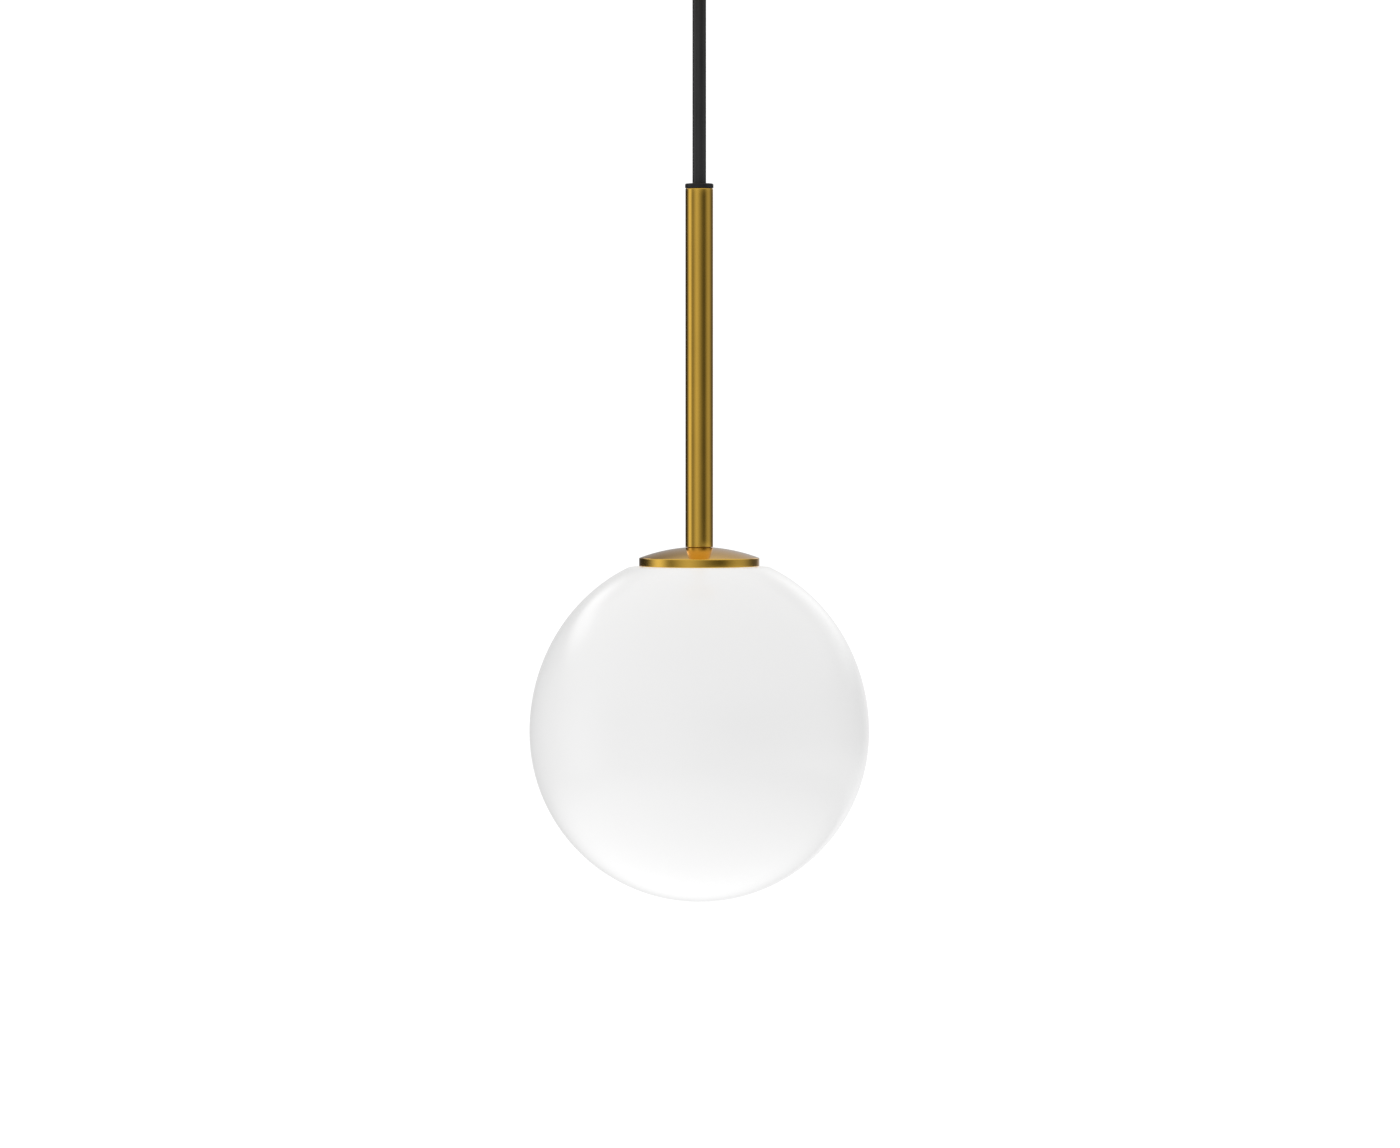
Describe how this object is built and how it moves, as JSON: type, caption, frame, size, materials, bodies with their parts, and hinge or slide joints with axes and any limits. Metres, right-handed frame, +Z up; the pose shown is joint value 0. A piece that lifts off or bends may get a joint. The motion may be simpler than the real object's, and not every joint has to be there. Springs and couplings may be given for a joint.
{
  "type": "pendant ceiling light",
  "caption": "Pendant ceiling light: an opal glass globe under a shallow brass cap and a slim brass stem, hung by a black cord from a round canopy.",
  "frame": {"origin": "ceiling plane on the light's own axis, at the top of the mounting bracket", "axes": "+Z up, so the light hangs along -Z; X runs along the bracket through the canopy's two side screws"},
  "size_m": [0.15, 0.15, 0.4461],
  "materials": {
    "brass": "satin lacquered brass",
    "terminal_brass": "turned brass",
    "zinc_steel": "zinc-plated steel",
    "canopy_screw": "brass, cross-recess head",
    "spring_steel": "tempered spring steel",
    "black_plastic": "moulded black plastic",
    "black_sheath": "smooth black PVC sheath",
    "natural_plastic": "translucent natural nylon",
    "brown_wire": "PVC insulation",
    "blue_wire": "PVC insulation",
    "green_yellow_wire": "PVC insulation, green with a yellow stripe",
    "silicone": "soft white silicone",
    "ceramic": "unglazed steatite",
    "lamp_glass": "frosted lamp glass",
    "lamp_board": "light board with yellow phosphor",
    "opal_glass": "opal white glass, glossy"
  },
  "bodies": {
    "bracket": {"ceiling_bracket": "zinc_steel", "terminal_block": "natural_plastic", "terminal_live": "terminal_brass", "terminal_neutral": "terminal_brass", "terminal_earth": "terminal_brass", "terminal_screw_1": "zinc_steel", "terminal_screw_2": "zinc_steel", "terminal_screw_3": "zinc_steel", "terminal_screw_4": "zinc_steel", "terminal_screw_5": "zinc_steel", "terminal_screw_6": "zinc_steel", "block_screw_1": "zinc_steel", "block_screw_2": "zinc_steel", "earth_screw": "zinc_steel", "earth_lug": "zinc_steel", "earth_link": "green_yellow_wire", "canopy_screw_1": "canopy_screw", "canopy_screw_2": "canopy_screw"},
    "canopy": {"canopy_cover": "brass", "cord_grip": "black_plastic", "cord_grip_nut": "black_plastic", "cord_grip_screw": "black_plastic", "cord_in_canopy": "black_sheath", "canopy_wire_live": "brown_wire", "canopy_wire_neutral": "blue_wire", "canopy_wire_earth": "green_yellow_wire"},
    "cord_top": {"cord_flex": "black_sheath"},
    "cord": {"cord": "black_sheath"},
    "lamp": {"stem_bush": "black_plastic", "stem_tube": "brass", "cord_stop": "zinc_steel", "cord_in_stem": "black_sheath", "stem_nipple": "zinc_steel", "globe_cap": "brass", "globe_gasket": "silicone", "globe_spring": "spring_steel", "lampholder_strap": "zinc_steel", "lock_washer": "zinc_steel", "hex_nut": "terminal_brass", "lampholder": "ceramic", "contact_live": "terminal_brass", "contact_neutral": "terminal_brass", "lampholder_screw_1": "zinc_steel", "lampholder_screw_2": "zinc_steel", "lamp_wire_live": "brown_wire", "lamp_wire_neutral": "blue_wire", "lamp_wire_earth": "green_yellow_wire", "strap_earth_screw": "zinc_steel", "strap_lug": "zinc_steel"},
    "globe": {"globe": "opal_glass"},
    "bulb": {"bulb_base": "ceramic", "bulb_envelope": "lamp_glass", "light_board": "lamp_board", "bulb_pin_1": "zinc_steel", "bulb_pin_2": "zinc_steel"}
  },
  "joints": [
    {"name": "cover_drop", "type": "slide", "parent": "bracket", "child": "canopy", "axis": [0, 0, -1], "range_m": [0, 0.05], "deforming": ["canopy_wire_live", "canopy_wire_neutral", "canopy_wire_earth"]},
    {"name": "swing_x", "type": "hinge", "parent": "canopy", "child": "cord_top", "pos_m": [0, 0, -0.034], "axis": [1, 0, 0], "range_deg": [-45, 45]},
    {"name": "swing_y", "type": "hinge", "parent": "cord_top", "child": "cord", "pos_m": [0, 0, -0.034], "axis": [0, 1, 0], "range_deg": [-45, 45]},
    {"name": "twist", "type": "hinge", "parent": "cord", "child": "lamp", "pos_m": [0, 0, -0.1295], "axis": [0, 0, 1], "range_deg": [-180, 180]},
    {"name": "globe_pull", "type": "slide", "parent": "lamp", "child": "globe", "axis": [0, 0, -1], "range_m": [0, 0.095], "deforming": ["globe_spring"]},
    {"name": "bulb_pull", "type": "slide", "parent": "lamp", "child": "bulb", "axis": [0, 0, -1], "range_m": [0, 0.018]}
  ]
}
